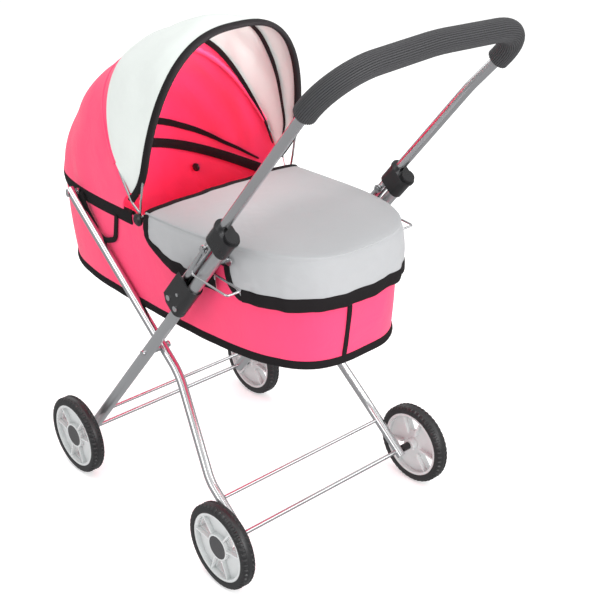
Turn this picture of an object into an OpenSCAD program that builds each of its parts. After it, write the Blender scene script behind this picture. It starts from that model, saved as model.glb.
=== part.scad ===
// Folding doll stroller: a crossed frame of steel tubes on four wheels, with a
// fold-down handle, and a soft carrycot on a hinged wire rim under a folding hood.
// +Z is up, -Y is the hood end, +X is the left side of the person who pushes it.
// The origin is on the floor, under the middle of the stroller's box.

/* [Wheels] */
// Diameter of each wheel over its tyre
wheel_d = 120; // [100:1:150]
// Width of each tyre
tyre_w = 20; // [14:1:26]
// Diameter of the plastic rim, where the tyre sits on it
rim_d = 98; // [84:1:110]
// Diameter of the hub cap
hub_cap_d = 33; // [24:1:40]
// Distance between the front and the rear axle
wheelbase = 364; // [300:2:440]
// Distance between the middles of the two front wheels
front_track = 340; // [334:2:400]
// Distance between the middles of the two rear wheels
rear_track = 358; // [350:2:420]
// Diameter of both axle rods
axle_d = 6; // [4:0.5:8]

/* [Frame] */
// Slope of the front legs above the floor, in degrees
leg_slope = 48.6; // [44:0.2:52]
// Diameter of the front leg tubes
front_leg_d = 16; // [14:0.5:18]
// Diameter of the rear leg tubes
rear_leg_d = 13; // [10:0.5:14]
// Diameter of the handle tube
handle_d = 13; // [11:0.5:14]
// Wall of every tube
tube_wall = 1; // [0.6:0.1:1.5]
// Distance between the middles of the two front legs
leg_spread = 290; // [290:2:330]
// Distance between the middles of the two rear legs where they cross the front legs
crossing_spread = 242; // [236:2:246]
// Diameter of the two brace rods
brace_d = 5; // [4:0.5:7]
// Distance of each brace rod from its axle, along the legs
brace_offset = 68; // [55:1:85]

/* [Handle] */
// Distance between the handle tube and the leg tube beside it, middle to middle
tube_pitch = 17; // [16.5:0.1:20]
// Distance of the handle's pivot from the front axle, along the leg
handle_pivot_s = 397; // [380:1:410]
// Height of the handle bar's corners above the floor
handle_h = 711; // [680:1:760]
// Diameter of the foam grip
grip_d = 27; // [20:1:32]
// Length of the slider block along the tube
slider_l = 32; // [24:1:44]
// Travel of the slider blocks when they unlock the handle
slider_travel = 45; // [30:1:60]

/* [Carrycot] */
// Length of the carrycot over its wire rim
cot_l = 570; // [520:2:600]
// Width of the carrycot over its wire rim
cot_w = 244; // [230:2:246]
// Height of the wire rim above the floor
rim_z = 438; // [430:1:450]
// Depth of the carrycot below its rim
cot_depth = 134; // [110:1:140]
// Thickness of the padded fabric
fabric_t = 3; // [2:0.5:4]
// Diameter of the rim wire
rim_wire_d = 4; // [3:0.5:5]

/* [Hood] */
// Width of the hood over its bows
hood_w = 262; // [256:1:264]
// Height of the front bow above its hinge
front_bow_h = 248; // [200:2:270]
// Height of the middle bow above its hinge
middle_bow_h = 222; // [180:2:250]
// Slope of the front bow above the floor, from the handle end, in degrees
front_bow_slope = 76; // [65:1:85]
// Slope of the middle bow above the floor, from the handle end, in degrees
middle_bow_slope = 127; // [115:1:135]
// Diameter of the bow wire
bow_wire_d = 3; // [2:0.5:4]

/* [Hidden] */
$fn = 48;

// Colours
steel = [0.82, 0.83, 0.84];
satin = [0.74, 0.75, 0.76];
plastic_black = [0.16, 0.16, 0.17];
rim_grey = [0.80, 0.82, 0.82];
rubber = [0.08, 0.08, 0.09];
foam = [0.22, 0.22, 0.23];
pink = [0.96, 0.22, 0.40];
cloth_grey = [0.78, 0.78, 0.79];
hood_grey = [0.85, 0.88, 0.86];
webbing = [0.12, 0.12, 0.13];

// Clearances: radial on every shaft, between parts of different bodies, and at a press seat
shaft_gap = 0.05;
body_gap = 0.3;
seat_gap = 0.02;

// Along the stroller
axle_z = wheel_d / 2;
front_axle_y = -221;
rear_axle_y = front_axle_y + wheelbase;
leg_x = leg_spread / 2;
front_leg_r = front_leg_d / 2;
rear_leg_r = rear_leg_d / 2;
handle_r = handle_d / 2;
grip_r = grip_d / 2;
axle_r = axle_d / 2;
brace_r = brace_d / 2;

// A point beside the front leg: s runs up the leg from the front axle, t stands off it towards the hood
function beside_leg(s, t) = [
    front_axle_y + s * cos(leg_slope) - t * sin(leg_slope),
    axle_z + s * sin(leg_slope) + t * cos(leg_slope)];
function at_x(x, p) = [x, p[0], p[1]];

// The crossing of the legs, and the rear leg's path from its top to below the rear axle
crossing_s = 266;
crossing = beside_leg(crossing_s, 0);
crossing_x = crossing_spread / 2;
leg_top_x = 130;
leg_foot_x = leg_x + 1;
cot_bolt = [-229, rim_z - 4];
leg_top_over = 7;
upper_run = (crossing - cot_bolt) / norm(crossing - cot_bolt);
leg_top = cot_bolt - upper_run * leg_top_over;
knee = crossing + upper_run * 46;
ankle = [rear_axle_y - 63, axle_z + 52];
foot_run = ([rear_axle_y, axle_z] - ankle) / norm([rear_axle_y, axle_z] - ankle);
leg_foot = [rear_axle_y, axle_z] + foot_run * 9;
rear_leg_path = [
    at_x(leg_top_x, leg_top), at_x(crossing_x - 1, knee),
    at_x(leg_foot_x, ankle), at_x(leg_foot_x, leg_foot)];
rear_leg_bends = [0, 150, 90, 0];
rear_brace_at = [rear_axle_y, axle_z] - foot_run * brace_offset * 0.8;

// Front leg, along s
leg_foot_s = -10;
slider_s = 533;
leg_end_s = slider_s - body_gap;

// Lower bracket, in s and t
bracket_wall = 2.2;
bracket_low_s = 386;
bracket_high_s = 446;
bracket_front_t = tube_pitch + 10;
bracket_r = front_leg_r + bracket_wall;
rivet_r = 2.5;
small_rivet = beside_leg(418, 9.2);
small_rivet_r = 1;
handle_pivot = beside_leg(handle_pivot_s, tube_pitch);
handle_stub = 4.5;

// Handle: straight up beside the leg, a slight bend outwards, then round the corner to the bar
bar_x = 153;
handle_bend_s = 739;
handle_end = beside_leg(handle_pivot_s - handle_stub, tube_pitch);
handle_bend = beside_leg(handle_bend_s, tube_pitch);
handle_corner = [handle_bend[0] + (handle_h - handle_bend[1]) / tan(46), handle_h];
bar_middle = handle_corner + [-4, 6];
corner_r = 58;
function handle_half(x) = [at_x(x * leg_x, handle_end), at_x(x * leg_x, handle_bend),
    at_x(x * bar_x, handle_corner)];
handle_path = concat(handle_half(1), [at_x(0, bar_middle)],
    [for (i = [2:-1:0]) handle_half(-1)[i]]);
handle_bends = [0, 200, corner_r, 400, corner_r, 200, 0];
// The foam starts part of the way from the bend to the corner
grip_start = 0.45;
function mix(a, b, f) = a + (b - a) * f;
grip_path = concat(
    [mix(handle_path[1], handle_path[2], grip_start)],
    [for (i = [2:4]) handle_path[i]],
    [mix(handle_path[5], handle_path[4], grip_start)]);
grip_bends = [0, corner_r, 400, corner_r, 0];
grip_gap = 0.15;
handle_flat = [0, -sin(leg_slope), cos(leg_slope)];

// Slider block
slider_wall = 2.4;
slider_r = front_leg_r + slider_wall - 0.4;
flange_t = 3;

// Safety bail: a wire that hangs from a bolt through the handle tube and goes round the leg
bail_wire_r = 1.5;
bail_bolt_s = 517;
bail_bolt_r = 2.5;
bail_points = [[bail_bolt_s, tube_pitch], [471, 12], [514, -47]];
bail_in = 10;
bail_out = 11.5;

// Cot rim and plan
cot_mid_y = -62;
cot_n = 3.3;
cot_a = cot_w / 2;
cot_b = cot_l / 2;
rim_wire_r = rim_wire_d / 2;
knob_y = cot_mid_y;
knob_z = rim_z + 4;
knob_r = 8.5;
pin_r = 2;
eyelet_r = 5;
eyelet_w = 2;
cot_floor_z = rim_z - cot_depth;
tub_top_z = rim_z - rim_wire_r - body_gap;
rim_bolt = beside_leg((rim_z - axle_z) / sin(leg_slope), 0);
apron_drop = 52;
apron_t = 2.5;
apron_rise = 14;
apron_front_y = -50;

function sgn_pow(v, e) = sign(v) * pow(abs(v), e);
// A rounded oblong in plan: half-width a, half-length b, at turn w in degrees
function oval(a, b, w) = [a * sgn_pow(cos(w), 2 / cot_n), b * sgn_pow(sin(w), 2 / cot_n)];
oval_n = 64;
function oval_points(a, b) = [for (i = [0:oval_n - 1]) oval(a, b, 360 * i / oval_n) + [0, cot_mid_y]];

// Hood
hood_n = 2.7;
bow_wire_r = bow_wire_d / 2;
hood_a = hood_w / 2 - bow_wire_r;
// Where each piece sits along the hinge pin, from the middle of the stroller outwards
foot_eyelet_x = 116;
head_eyelet_x = foot_eyelet_x + 5;
middle_eyelet_x = head_eyelet_x + eyelet_w + 1.6;
front_eyelet_x = middle_eyelet_x + eyelet_w + 1.3;
knob_x = hood_a + 1.1;
cloth_gap = 1.1;
// A point of a bow: turn w runs from one knob over the top to the other
function bow_point(a, h, slope, w) = [
    a * sgn_pow(cos(w), 2 / hood_n),
    knob_y + h * pow(sin(w), 2 / hood_n) * cos(slope),
    knob_z + h * pow(sin(w), 2 / hood_n) * sin(slope)];

// ---- Building shapes ----

// A straight round bar from a to b
module bar(a, b, r) {
    d = b - a;
    l = norm(d);
    translate(a)
        rotate([0, acos(d[2] / l), atan2(d[1], d[0])])
            cylinder(h = l, r = r);
}

function unit(v) = v / norm(v);
function bend_angle(u, v) = acos(min(1, max(-1, u * v)));

// Points along one bend: an arc of radius r at corner p, from direction u to direction v
function bend_points(p, u, v, r, steps) =
    let (turn = bend_angle(u, v), w = unit(v - u * (u * v)), c = p - u * (r * tan(turn / 2)) + w * r)
    [for (i = [0:steps]) let (q = turn * i / steps) c - w * (r * cos(q)) + u * (r * sin(q))];

// Points along a path of corners, each corner rounded to its own radius
function rounded(path, bends, steps) = let (n = len(path) - 1) concat(
    [path[0]],
    [for (i = [1:n - 1]) each bend_points(path[i], unit(path[i] - path[i - 1]), unit(path[i + 1] - path[i]),
        bends[i], steps)],
    [path[n]]);

// The corners of rings of a round section swept along points; flat is a direction no part of the path runs along
function rings(points, r, flat, sides) = let (n = len(points)) [for (i = [0:n - 1])
    let (along = unit(points[min(n - 1, i + 1)] - points[max(0, i - 1)]),
        a = unit(cross(along, flat)), b = cross(along, a))
    for (k = [0:sides - 1]) points[i] + a * (r * cos(360 * k / sides)) + b * (r * sin(360 * k / sides))];

// The walls between n rings, numbered from first; out is 1 for an outer wall and -1 for the wall of a bore
function walls(n, sides, first, out) = [for (i = [0:n - 2]) for (k = [0:sides - 1])
    let (k1 = (k + 1) % sides, p = first + i * sides, q = p + sides)
    out > 0 ? [p + k, q + k, q + k1, p + k1] : [p + k, p + k1, q + k1, q + k]];

// A solid wire swept along points, with flat ends
module wire(points, r, flat, sides = 8) {
    n = len(points);
    faces = concat([[for (k = [0:sides - 1]) k]], walls(n, sides, 0, 1),
        [[for (k = [sides - 1:-1:0]) (n - 1) * sides + k]]);
    polyhedron(points = rings(points, r, flat, sides), faces = faces, convexity = 8);
}

// The same as a tube, open at both ends, with bore radius bore
module pipe(points, r, bore, flat, sides = 16) {
    n = len(points);
    m = n * sides;
    end = (n - 1) * sides;
    caps = [for (k = [0:sides - 1]) each let (k1 = (k + 1) % sides)
        [[k, k1, m + k1, m + k], [end + k1, end + k, m + end + k, m + end + k1]]];
    polyhedron(
        points = concat(rings(points, r, flat, sides), rings(points, bore, flat, sides)),
        faces = concat(walls(n, sides, 0, 1), walls(n, sides, m, -1), caps),
        convexity = 10);
}

// Frame of one front leg: z runs up the leg, y points away from the hood, x outwards
module on_leg(side) {
    translate([side * leg_x, front_axle_y, axle_z])
        rotate([leg_slope - 90, 0, 0])
            children();
}

module cross_bore(x0, x1, y, z, r) {
    translate([x0, y, z]) rotate([0, 90, 0]) cylinder(h = x1 - x0, r = r);
}

// ---- Frame ----

module front_leg(side) {
    color(satin) difference() {
        on_leg(side) difference() {
            translate([0, 0, leg_foot_s]) cylinder(h = leg_end_s - leg_foot_s, r = front_leg_r);
            translate([0, 0, leg_foot_s - 1]) cylinder(h = leg_end_s - leg_foot_s + 2, r = front_leg_r - tube_wall);
        }
        cross_bore(side * leg_x - 20, side * leg_x + 20, front_axle_y, axle_z, axle_r + seat_gap);
        cross_bore(side * leg_x - 20, side * leg_x + 20, crossing[0], crossing[1], rivet_r + seat_gap);
        // The rim's bolt goes through the inner wall only
        cross_bore(side * (leg_x - front_leg_r) - 3, side * (leg_x - front_leg_r) + 3,
            rim_bolt[0], rim_bolt[1], pin_r + seat_gap);
    }
}

module rear_leg(side) {
    color(steel) difference() {
        pipe(rounded([for (p = rear_leg_path) [side * p[0], p[1], p[2]]], rear_leg_bends, 8),
            rear_leg_r, rear_leg_r - tube_wall, [1, 0, 0], 18);
        cross_bore(side * leg_foot_x - 20, side * leg_foot_x + 20, rear_axle_y, axle_z, axle_r + seat_gap);
        cross_bore(side * crossing_x - 20, side * crossing_x + 20, crossing[0], crossing[1], rivet_r + shaft_gap);
        cross_bore(side * leg_top_x - 20, side * leg_top_x + 20, cot_bolt[0], cot_bolt[1], pin_r + shaft_gap);
    }
}

// An axle rod that reaches into both hub caps
clip_t = 1.8;
clip_gap = 0.3;
// How far the hub reaches from the middle of the wheel, inwards and outwards
hub_in = 12;
hub_out = 1.5;
axle_over = clip_t + clip_gap + 0.9;
module axle(track, y) {
    half = track / 2 + hub_out + axle_over;
    color(steel) cross_bore(-half, half, y, axle_z, axle_r);
}

// Push-on clips that keep the wheels on an axle
module axle_clips(track, y) {
    color(steel) for (side = [-1, 1])
        translate([side * (track / 2 + hub_out + clip_gap + clip_t / 2), y, axle_z])
            rotate([0, 90, 0]) difference() {
                cylinder(h = clip_t, r = axle_r + 3, center = true);
                cylinder(h = clip_t + 1, r = axle_r + seat_gap, center = true);
            }
}

// Plastic sleeves between the legs and the wheels
module spacers(track, x, r, y) {
    from = x + r + body_gap;
    to = track / 2 - hub_in - body_gap;
    color(plastic_black) for (side = [-1, 1])
        translate([side * (from + to) / 2, y, axle_z])
            rotate([0, 90, 0]) difference() {
                cylinder(h = to - from, r = axle_r + 2.5, center = true);
                cylinder(h = to - from + 1, r = axle_r + seat_gap, center = true);
            }
}

// A rod that ends just short of the walls of both legs
module brace(x, r, at) {
    color(steel) cross_bore(-(x - r) + 0.2, x - r - 0.2, at[0], at[1], brace_r);
}

// Bolts through both legs at the crossing, with a sleeve between the legs.
// The rear leg leans a little in its bend there, so its sides get more room.
lean_gap = 1;
module crossing_pivots() {
    head = 2.5;
    from = crossing_x - rear_leg_r - lean_gap;
    to = leg_x + front_leg_r + seat_gap;
    color(steel) for (side = [-1, 1]) mirror([side > 0 ? 0 : 1, 0, 0]) {
        cross_bore(from - head, to + head, crossing[0], crossing[1], rivet_r);
        cross_bore(from - head, from, crossing[0], crossing[1], rivet_r + 2);
        cross_bore(to, to + head, crossing[0], crossing[1], rivet_r + 2);
        cross_bore(crossing_x + rear_leg_r + lean_gap, leg_x - front_leg_r - seat_gap,
            crossing[0], crossing[1], rivet_r + 2.5);
    }
}

// ---- Wheels ----

cap_r = hub_cap_d / 2;
boss_r = cap_r + 2.2;
hub_r = axle_r + 6;
rib_t = 2.4;
rim_wall = 4;
rim_w = tyre_w - 3;
rim_r = rim_d / 2;
cap_out = tyre_w / 2 - 2;
web_r = rim_r - rim_wall;
module wheel_rim() {
    difference() {
        union() {
            rotate_extrude() {
                translate([web_r, -rim_w / 2]) square([rim_wall, rim_w]);
                translate([axle_r + shaft_gap, -hub_in]) square([hub_r - axle_r - shaft_gap, hub_in + hub_out]);
                translate([hub_r - 1, -1.5]) square([web_r - hub_r + 2, 3]);
                // The ring that the hub cap is pressed into
                translate([cap_r + seat_gap, -1.5]) square([boss_r - cap_r, cap_out + 1.5]);
            }
            // Three pairs of ribs
            for (i = [0:2]) for (half = [-1, 1])
                rotate([0, 0, 120 * i + half * 22])
                    translate([boss_r - 1, -rib_t / 2, -rim_w / 2 + 1])
                        cube([web_r - boss_r + 2, rib_t, rim_w - 2]);
        }
        // Open windows between the ribs of each pair
        for (i = [0:2])
            rotate_extrude(angle = 34, start = 120 * i - 17)
                translate([boss_r + 2, -5]) square([web_r - boss_r - 4, 10]);
    }
}

module tyre() {
    rotate_extrude($fn = 96) difference() {
        offset(r = 3) offset(delta = -3)
            translate([rim_r - 2, -tyre_w / 2]) square([wheel_d / 2 - rim_r + 2, tyre_w]);
        translate([0, -rim_w / 2 - seat_gap]) square([rim_r + seat_gap, rim_w + 2 * seat_gap]);
    }
}

// A shallow cup over the end of the axle
module hub_cap() {
    difference() {
        translate([0, 0, hub_out + seat_gap]) cylinder(h = cap_out - hub_out - seat_gap, r = cap_r);
        cylinder(h = hub_out + axle_over + 0.5, r = axle_r + 5);
    }
}

module at_wheel(side, track, y) {
    translate([side * track / 2, y, axle_z]) rotate([0, side * 90, 0]) children();
}

// ---- Brackets, handle and locks ----

// A clevis: it wraps the leg tube and its two cheeks hold the handle's lower end
module lower_bracket(side) {
    color(plastic_black) difference() {
        on_leg(side) difference() {
            translate([0, 0, bracket_low_s]) linear_extrude(bracket_high_s - bracket_low_s) {
                circle(r = bracket_r);
                translate([-bracket_r, -bracket_front_t]) square([bracket_r * 2, bracket_front_t]);
            }
            translate([0, 0, bracket_low_s - 1]) linear_extrude(bracket_high_s - bracket_low_s + 2) {
                circle(r = front_leg_r + seat_gap);
                translate([-front_leg_r - seat_gap, -bracket_front_t - 1])
                    square([(front_leg_r + seat_gap) * 2, bracket_front_t + 1]);
            }
            // The lower front corner is cut away
            translate([0, -bracket_front_t, bracket_low_s]) rotate([-35, 0, 0])
                cube([60, 30, 12], center = true);
        }
        cross_bore(side * leg_x - 20, side * leg_x + 20, handle_pivot[0], handle_pivot[1], rivet_r + seat_gap);
        cross_bore(side * leg_x - 20, side * leg_x + 20,
            beside_leg(handle_pivot_s, 0)[0], beside_leg(handle_pivot_s, 0)[1], rivet_r + seat_gap);
        cross_bore(side * leg_x - 20, side * leg_x + 20, small_rivet[0], small_rivet[1], small_rivet_r + seat_gap);
    }
}

module rivet(side, at, half, r, head) {
    translate([side * leg_x, at[0], at[1]]) rotate([0, 90, 0]) {
        cylinder(h = half * 2, r = r, center = true);
        for (end = [-1, 1]) translate([0, 0, end * (half + head / 2)])
            cylinder(h = head, r = r + 1.4, center = true);
    }
}

// Rivets that hold the brackets on the legs, and a small one between the tubes
module bracket_rivets() {
    color(steel) for (side = [-1, 1]) {
        for (face = [-1, 1])
            translate([side * leg_x + face * bracket_r, beside_leg(handle_pivot_s, 0)[0], beside_leg(handle_pivot_s, 0)[1]])
                rotate([0, face * 90, 0]) {
                    translate([0, 0, seat_gap]) cylinder(h = 1.2, r = rivet_r + 1.4);
                    translate([0, 0, -bracket_wall + seat_gap]) cylinder(h = bracket_wall, r = rivet_r);
                }
        rivet(side, small_rivet, bracket_r + seat_gap, small_rivet_r, 0.8);
    }
}

// Rivets on which the handle turns
module handle_pivots() {
    color(steel) for (side = [-1, 1]) rivet(side, handle_pivot, bracket_r + seat_gap, rivet_r, 1.2);
}

module handle_tube() {
    color(steel) difference() {
        pipe(rounded(handle_path, handle_bends, 9), handle_r, handle_r - tube_wall, handle_flat, 18);
        for (side = [-1, 1]) {
            cross_bore(side * leg_x - 20, side * leg_x + 20, handle_pivot[0], handle_pivot[1], rivet_r + shaft_gap);
            bolt = beside_leg(bail_bolt_s, tube_pitch);
            cross_bore(side * leg_x - 20, side * leg_x + 20, bolt[0], bolt[1], bail_bolt_r + seat_gap);
        }
    }
}

module foam_grip() {
    color(foam) pipe(rounded(grip_path, grip_bends, 9), grip_r, handle_r + grip_gap, handle_flat, 18);
}

// A block that slides on the handle tube and caps the top of the leg
module lock_slider(side) {
    color(plastic_black) on_leg(side) difference() {
        union() {
            translate([0, 0, slider_s]) linear_extrude(slider_l) slider_outline(slider_r);
            translate([0, 0, slider_s + slider_l - flange_t]) linear_extrude(flange_t) slider_outline(slider_r + 1.4);
            translate([0, 0, slider_s + slider_l]) cylinder(h = 5, r = slider_r - 1);
        }
        translate([0, -tube_pitch, slider_s - 1]) cylinder(h = slider_l + 10, r = handle_r + shaft_gap);
    }
}
module slider_outline(r) {
    circle(r = r);
    translate([0, -tube_pitch]) circle(r = r);
    translate([-r, -tube_pitch]) square([r * 2, tube_pitch]);
}

module bail_bolts() {
    at = beside_leg(bail_bolt_s, tube_pitch);
    half = handle_r + bail_wire_r * 2 + body_gap * 2 + 0.4;
    color(steel) for (side = [-1, 1]) rivet(side, at, half, bail_bolt_r, 1);
}

module safety_bail(side) {
    eye = handle_r + body_gap + bail_wire_r;
    flat = [0, cos(leg_slope + 155), sin(leg_slope + 155)];
    p0 = beside_leg(bail_points[0][0] - bail_bolt_r - bail_wire_r, bail_points[0][1]);
    p1 = beside_leg(bail_points[1][0], bail_points[1][1]);
    p2 = beside_leg(bail_points[2][0], bail_points[2][1]);
    bolt = beside_leg(bail_bolt_s, tube_pitch);
    color(steel) difference() {
        union() {
            wire(rounded([
                [side * (leg_x - eye), p0[0], p0[1]], [side * (leg_x - bail_in), p1[0], p1[1]],
                [side * (leg_x - bail_in), p2[0], p2[1]], [side * (leg_x + bail_out), p2[0], p2[1]],
                [side * (leg_x + bail_out), p1[0], p1[1]], [side * (leg_x + eye), p0[0], p0[1]]],
                [0, 5, 4, 4, 5, 0], 5), bail_wire_r, flat, 10);
            for (face = [-1, 1])
                cross_bore(side * leg_x + face * eye - bail_wire_r + 0.2, side * leg_x + face * eye + bail_wire_r - 0.2,
                    bolt[0], bolt[1], bail_bolt_r + bail_wire_r * 2);
        }
        cross_bore(side * leg_x - 20, side * leg_x + 20, bolt[0], bolt[1], bail_bolt_r + shaft_gap);
    }
}

// ---- Carrycot ----

// Half of the rim wire: from one knob round the end of the cot to the other
rim_a = cot_a - rim_wire_r;
rim_b = cot_b - rim_wire_r;
rim_steps = 44;
rim_low_w = 0.4;
function rim_path(end, eyelet_x) = let (knob = [eyelet_x, knob_y, knob_z]) concat(
    [knob],
    [for (i = [0:rim_steps]) let (p = oval(rim_a, rim_b, rim_low_w + (180 - 2 * rim_low_w) * i / rim_steps))
        [p[0], cot_mid_y + end * p[1], rim_z]],
    [[-knob[0], knob[1], knob[2]]]);
// Distance of the rim wire from the middle of the stroller, at a place along it
function rim_x(y) = rim_a * pow(1 - pow(abs(y - cot_mid_y) / rim_b, cot_n), 1 / cot_n);

// A flat ring on the X axis direction, its inner face at x
module eyelet(x, y, z) {
    translate([x, y, z]) rotate([0, 90, 0]) cylinder(h = eyelet_w, r = eyelet_r);
}
module mirrored() {
    children();
    mirror([1, 0, 0]) children();
}
module pin_bore(r) {
    cross_bore(-leg_x, leg_x, knob_y, knob_z, r);
}

// The rim's foot half is bolted to the front legs by two tabs, each on a pair of stubs outside the cloth
rim_tab_x = cot_a + 2;
rim_tab_half = 8;
module rim_wire_foot() {
    color(steel) difference() {
        union() {
            wire(rim_path(1, foot_eyelet_x + eyelet_w / 2), rim_wire_r, [0, 0, 1]);
            mirrored() {
                eyelet(foot_eyelet_x, knob_y, knob_z);
                hull() for (d = [-1, 1]) eyelet(rim_tab_x, rim_bolt[0] + d * rim_tab_half, rim_bolt[1]);
                for (d = [-1, 1])
                    cross_bore(rim_x(rim_bolt[0] + d * rim_tab_half), rim_tab_x + 1,
                        rim_bolt[0] + d * rim_tab_half, rim_z, rim_wire_r - 0.4);
            }
        }
        pin_bore(pin_r + seat_gap);
        mirrored() cross_bore(rim_tab_x - 1, leg_x, rim_bolt[0], rim_bolt[1], pin_r + shaft_gap);
    }
}

// The rim's head half has a tab beside the top of each rear leg
head_tab_x = cot_a - 1.8;
module rim_wire_head() {
    color(steel) difference() {
        union() {
            wire(rim_path(-1, head_eyelet_x + eyelet_w / 2), rim_wire_r, [0, 0, 1]);
            mirrored() {
                eyelet(head_eyelet_x, knob_y, knob_z);
                eyelet(head_tab_x, cot_bolt[0], cot_bolt[1]);
                bar([rim_x(cot_bolt[0]), cot_bolt[0], rim_z - 0.5], [head_tab_x + 1, cot_bolt[0], rim_z - 1],
                    rim_wire_r - 0.5);
            }
        }
        pin_bore(pin_r + shaft_gap);
        cross_bore(-leg_x, leg_x, cot_bolt[0], cot_bolt[1], pin_r + shaft_gap);
    }
}

// Bolts from the front legs into the rim's tabs
module rim_bolts() {
    to = leg_x - front_leg_r - 0.5;
    color(steel) mirrored() {
        cross_bore(rim_tab_x - 2.4, leg_x - 3, rim_bolt[0], rim_bolt[1], pin_r);
        cross_bore(rim_tab_x - 2.4, rim_tab_x - body_gap, rim_bolt[0], rim_bolt[1], pin_r + 1.2);
        cross_bore(rim_tab_x + eyelet_w + body_gap, to, rim_bolt[0], rim_bolt[1], pin_r + 1.5);
    }
}

// Bolts at the tops of the rear legs. Their inner ends stop beside the rim's tabs.
module leg_top_bolts() {
    inner = leg_top_x - rear_leg_r - 0.8;
    outer = leg_top_x + rear_leg_r + 0.05;
    color(steel) mirrored() {
        cross_bore(inner, outer, cot_bolt[0], cot_bolt[1], pin_r);
        cross_bore(outer, outer + 0.9, cot_bolt[0], cot_bolt[1], pin_r + 2.2);
    }
}

// The hinge pins, each with a domed knob outside and a flat head inside
module hood_knobs() {
    dome = 5.5;
    color(plastic_black) mirrored() {
        cross_bore(foot_eyelet_x - 1.5, knob_x + 1, knob_y, knob_z, pin_r);
        cross_bore(foot_eyelet_x - 1.5, foot_eyelet_x - 0.3, knob_y, knob_z, pin_r + 2);
        translate([knob_x, knob_y, knob_z]) rotate([0, 90, 0]) {
            cylinder(h = dome / 2, r = knob_r);
            translate([0, 0, dome / 2]) intersection() {
                cylinder(h = dome / 2, r = knob_r);
                translate([0, 0, -knob_r * 0.9]) sphere(r = knob_r * 1.345);
            }
        }
    }
}

// A thin oval slab
module oval_slab(a, b, z, h = 0.01) {
    translate([0, 0, z]) linear_extrude(h) polygon(oval_points(a, b));
}

// The cloth tub: wider at its rim than at its floor, in two halves that meet at the knobs
tub_top_a = cot_a - 1.7;
tub_floor_a = crossing_x - rear_leg_r - 0.8;
tub_top_b = cot_b + 1;
tub_floor_b = cot_b - 9;
module tub_half(end) {
    color(pink) intersection() {
        difference() {
            hull() {
                oval_slab(tub_floor_a, tub_floor_b, cot_floor_z);
                oval_slab(tub_top_a, tub_top_b, tub_top_z - 0.01);
            }
            hull() {
                oval_slab(tub_floor_a - fabric_t, tub_floor_b - fabric_t, cot_floor_z + fabric_t);
                oval_slab(tub_top_a - fabric_t, tub_top_b - fabric_t, tub_top_z + 1);
            }
        }
        translate([-cot_w, end > 0 ? knob_y + body_gap / 2 : knob_y - cot_l, cot_floor_z - 1])
            cube([cot_w * 2, cot_l - body_gap / 2, cot_depth + 20]);
    }
}

// A stiff board that lies in the bottom of the tub
board_t = 3;
module base_board() {
    color(webbing) oval_slab(tub_floor_a - fabric_t - 4, tub_floor_b - fabric_t - 4,
        cot_floor_z + fabric_t + body_gap, board_t);
}

// The apron: a domed top over the foot half, with a skirt that has a slot at each front leg
apron_a = cot_a + 3 + apron_t;
apron_b = cot_b + 3 + apron_t;
apron_low_z = rim_z - apron_drop;
apron_seam_z = rim_z + 5;
slot_half = 21;
module apron_solid(inset) {
    hull() {
        oval_slab(apron_a - inset, apron_b - inset, apron_low_z - inset);
        oval_slab(apron_a - inset, apron_b - inset, apron_seam_z - inset);
        oval_slab(apron_a - 22, apron_b - 22, rim_z + apron_rise - inset);
    }
}
module apron() {
    color(cloth_grey) difference() {
        apron_solid(0);
        apron_solid(apron_t);
        translate([-cot_w, apron_front_y - cot_l, apron_low_z - 20]) cube([cot_w * 2, cot_l, cot_depth]);
        for (side = [-1, 1])
            translate([side * cot_a, rim_bolt[0], rim_z - apron_drop / 2 + 1])
                cube([40, slot_half * 2, apron_drop + 14], center = true);
    }
}

// Webbing that hangs from the rim, round a slot in a low buckle, and leans in with the tub's wall
strap_x = tub_top_a + body_gap;
strap_t = 1.2;
tub_lean = atan((tub_top_a - tub_floor_a) / cot_depth);
module strap(side) {
    low = [-184, -50];
    color(webbing) translate([side * strap_x, 0, rim_z]) rotate([0, side * tub_lean, 0])
        mirror([side > 0 ? 0 : 1, 0, 0]) rotate([90, 0, 90]) linear_extrude(strap_t) {
            hull() {
                translate([-214, -9]) circle(r = 5);
                translate(low) circle(r = 5);
            }
            hull() {
                translate(low) circle(r = 5);
                translate([-140, -12]) circle(r = 3);
            }
            translate(low) square([16, 12], center = true);
        }
}

// ---- Hood ----

// A bow: one wire from knob to knob, each end cranked in to an eyelet on the pin
bow_rings = 44;
bow_low_w = 3;
module bow(a, h, slope, eyelet_x) {
    x = eyelet_x + eyelet_w / 2;
    foot = [for (side = [1, -1]) [[side * x, knob_y, knob_z],
        [side * x, knob_y + 8 * cos(slope), knob_z + 8 * sin(slope)]]];
    over = [for (i = [0:bow_rings]) bow_point(a, h, slope, bow_low_w + (180 - 2 * bow_low_w) * i / bow_rings)];
    color(steel) difference() {
        union() {
            wire(concat(foot[0], over, [foot[1][1], foot[1][0]]), bow_wire_r, [0, -sin(slope), cos(slope)], 10);
            mirrored() eyelet(eyelet_x, knob_y, knob_z);
        }
        pin_bore(pin_r + shaft_gap);
    }
}

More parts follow.
